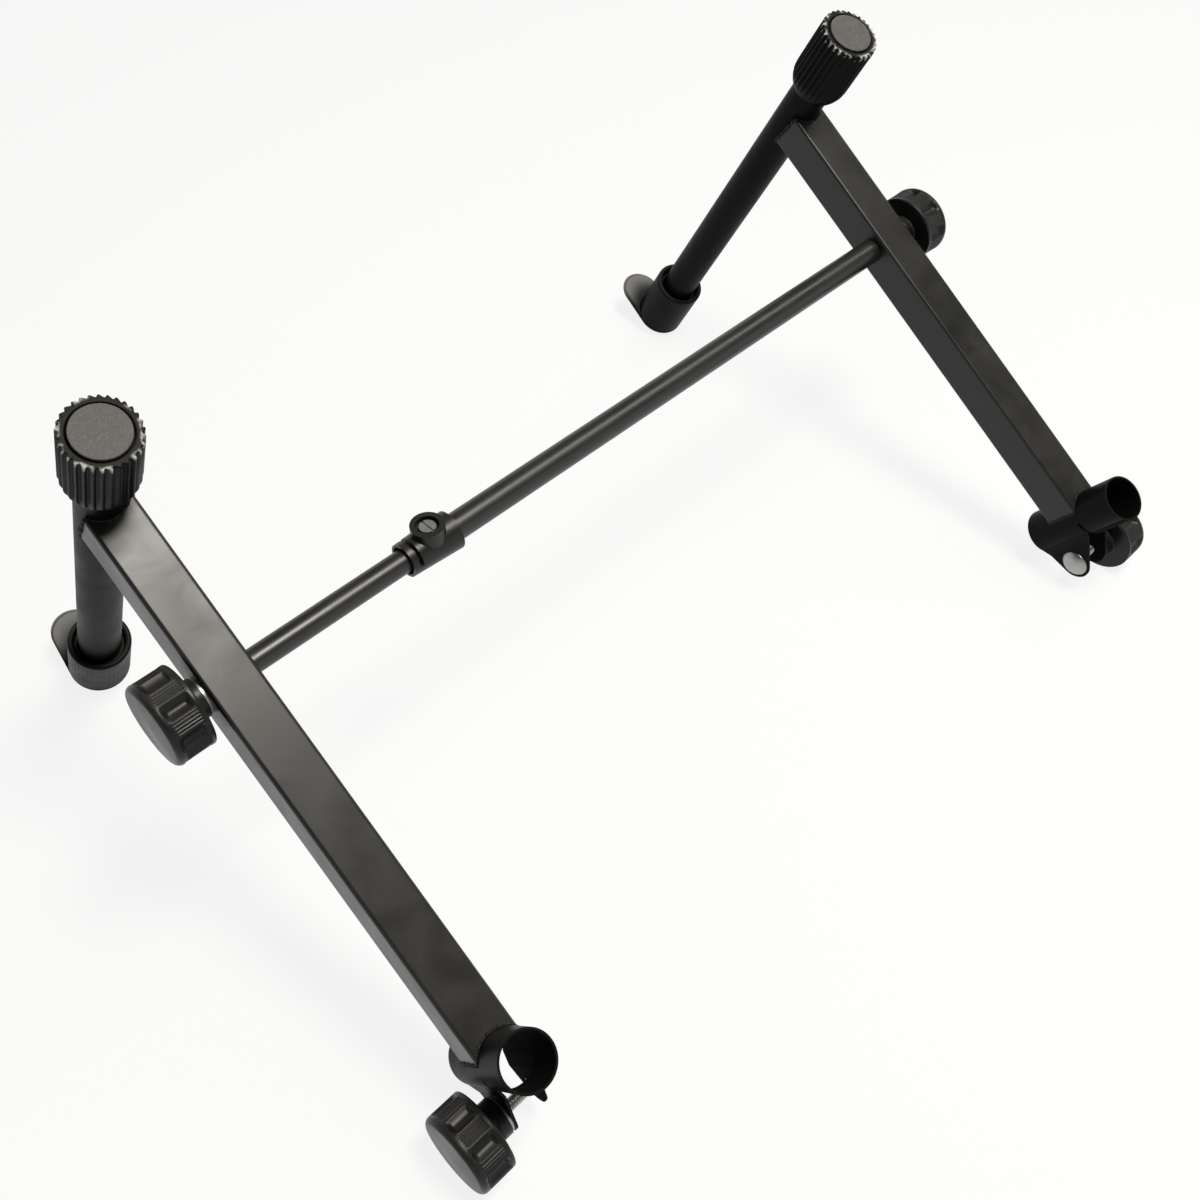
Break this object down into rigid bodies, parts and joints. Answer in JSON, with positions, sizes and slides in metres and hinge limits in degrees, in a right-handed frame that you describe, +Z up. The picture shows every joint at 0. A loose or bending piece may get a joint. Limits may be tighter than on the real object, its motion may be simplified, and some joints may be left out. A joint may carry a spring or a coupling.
{
  "type": "second-tier keyboard stand add-on",
  "caption": "Second-tier keyboard stand add-on: lip-ended support tubes on square bars with split clamp sleeves, tied by a telescoping cross rod with hand knobs.",
  "frame": {"origin": "floor level, under the middle of the bounding box, with the add-on standing on its lip caps and clamp knobs", "axes": "+X along the cross rod from the inner-rod arm to the outer-rod arm, +Y from the clamp feet to the lip feet, +Z up"},
  "size_m": [0.723, 0.5506, 0.3783],
  "materials": {
    "powder_coat": "satin black powder coat",
    "rod_coat": "smooth semi-gloss black",
    "cap_rubber": "matte, worn pale on the ribs",
    "plug_plastic": "fine matte grain",
    "knob_plastic": "fine moulded grain",
    "insert_brass": "machined",
    "collar_plastic": "moulded, slightly glossy",
    "zinc_steel": "bright zinc plate"
  },
  "bodies": {
    "cross_rod": {"outer_rod": "rod_coat", "lock_collar": "collar_plastic", "right_rod_stud": "zinc_steel"},
    "inner_rod": {"inner_rod": "rod_coat", "left_rod_stud": "zinc_steel"},
    "lock_screw": {"lock_screw": "zinc_steel"},
    "left_arm": {"left_support_tube": "powder_coat", "left_ribbed_cap": "cap_rubber", "left_end_plug": "plug_plastic", "left_lip_cap": "cap_rubber", "left_riser_bar": "powder_coat", "left_clamp_sleeve": "powder_coat", "left_clamp_bolt": "zinc_steel"},
    "left_arm_washer": {"left_arm_washer": "zinc_steel"},
    "left_arm_knob": {"left_arm_knob": "knob_plastic", "left_arm_knob_insert": "insert_brass"},
    "left_clamp_washer": {"left_clamp_washer": "zinc_steel"},
    "left_clamp_knob": {"left_clamp_knob": "knob_plastic", "left_clamp_knob_insert": "insert_brass"},
    "right_arm": {"right_support_tube": "powder_coat", "right_ribbed_cap": "cap_rubber", "right_end_plug": "plug_plastic", "right_lip_cap": "cap_rubber", "right_riser_bar": "powder_coat", "right_clamp_sleeve": "powder_coat", "right_clamp_bolt": "zinc_steel"},
    "right_arm_washer": {"right_arm_washer": "zinc_steel"},
    "right_arm_knob": {"right_arm_knob": "knob_plastic", "right_arm_knob_insert": "insert_brass"},
    "right_clamp_washer": {"right_clamp_washer": "zinc_steel"},
    "right_clamp_knob": {"right_clamp_knob": "knob_plastic", "right_clamp_knob_insert": "insert_brass"}
  },
  "joints": [
    {"name": "width_slide", "type": "slide", "parent": "cross_rod", "child": "inner_rod", "axis": [-1, 0, 0], "range_m": [-0.1, 0.23]},
    {"name": "left_arm_swing", "type": "hinge", "parent": "inner_rod", "child": "left_arm", "pos_m": [-0.311, -0.00815, 0.21302], "axis": [1, 0, 0], "continuous": true},
    {"name": "left_arm_washer_slide", "type": "slide", "parent": "inner_rod", "child": "left_arm_washer", "axis": [-1, 0, 0], "range_m": [0, 0.00501]},
    {"name": "left_arm_knob_turn", "type": "hinge", "parent": "left_arm_washer", "child": "left_arm_knob", "pos_m": [-0.3289, -0.00815, 0.21302], "axis": [-1, 0, 0], "range_deg": [0, 1440]},
    {"name": "left_clamp_washer_slide", "type": "slide", "parent": "left_arm", "child": "left_clamp_washer", "axis": [-1, 0, 0], "range_m": [0, 0.00501]},
    {"name": "left_clamp_knob_turn", "type": "hinge", "parent": "left_clamp_washer", "child": "left_clamp_knob", "pos_m": [-0.3254, -0.24635, 0.027], "axis": [-1, 0, 0], "range_deg": [0, 1440]},
    {"name": "right_arm_swing", "type": "hinge", "parent": "cross_rod", "child": "right_arm", "pos_m": [0.311, -0.00815, 0.21302], "axis": [1, 0, 0], "continuous": true},
    {"name": "right_arm_washer_slide", "type": "slide", "parent": "cross_rod", "child": "right_arm_washer", "axis": [1, 0, 0], "range_m": [0, 0.00501]},
    {"name": "right_arm_knob_turn", "type": "hinge", "parent": "right_arm_washer", "child": "right_arm_knob", "pos_m": [0.3289, -0.00815, 0.21302], "axis": [1, 0, 0], "range_deg": [0, 1440]},
    {"name": "right_clamp_washer_slide", "type": "slide", "parent": "right_arm", "child": "right_clamp_washer", "axis": [1, 0, 0], "range_m": [0, 0.00501]},
    {"name": "right_clamp_knob_turn", "type": "hinge", "parent": "right_clamp_washer", "child": "right_clamp_knob", "pos_m": [0.3254, -0.24635, 0.027], "axis": [1, 0, 0], "range_deg": [0, 1440]},
    {"name": "lock_screw_turn", "type": "hinge", "parent": "cross_rod", "child": "lock_screw", "pos_m": [-0.1582, -0.00815, 0.21302], "axis": [0, 0, 1], "range_deg": [0, 720]}
  ],
  "couplings": [
    {"joint": "left_arm_washer_slide", "follows": "left_arm_knob_turn", "m_per_rad": 0.00019894},
    {"joint": "left_clamp_washer_slide", "follows": "left_clamp_knob_turn", "m_per_rad": 0.00019894},
    {"joint": "right_arm_washer_slide", "follows": "right_arm_knob_turn", "m_per_rad": 0.00019894},
    {"joint": "right_clamp_washer_slide", "follows": "right_clamp_knob_turn", "m_per_rad": 0.00019894}
  ]
}
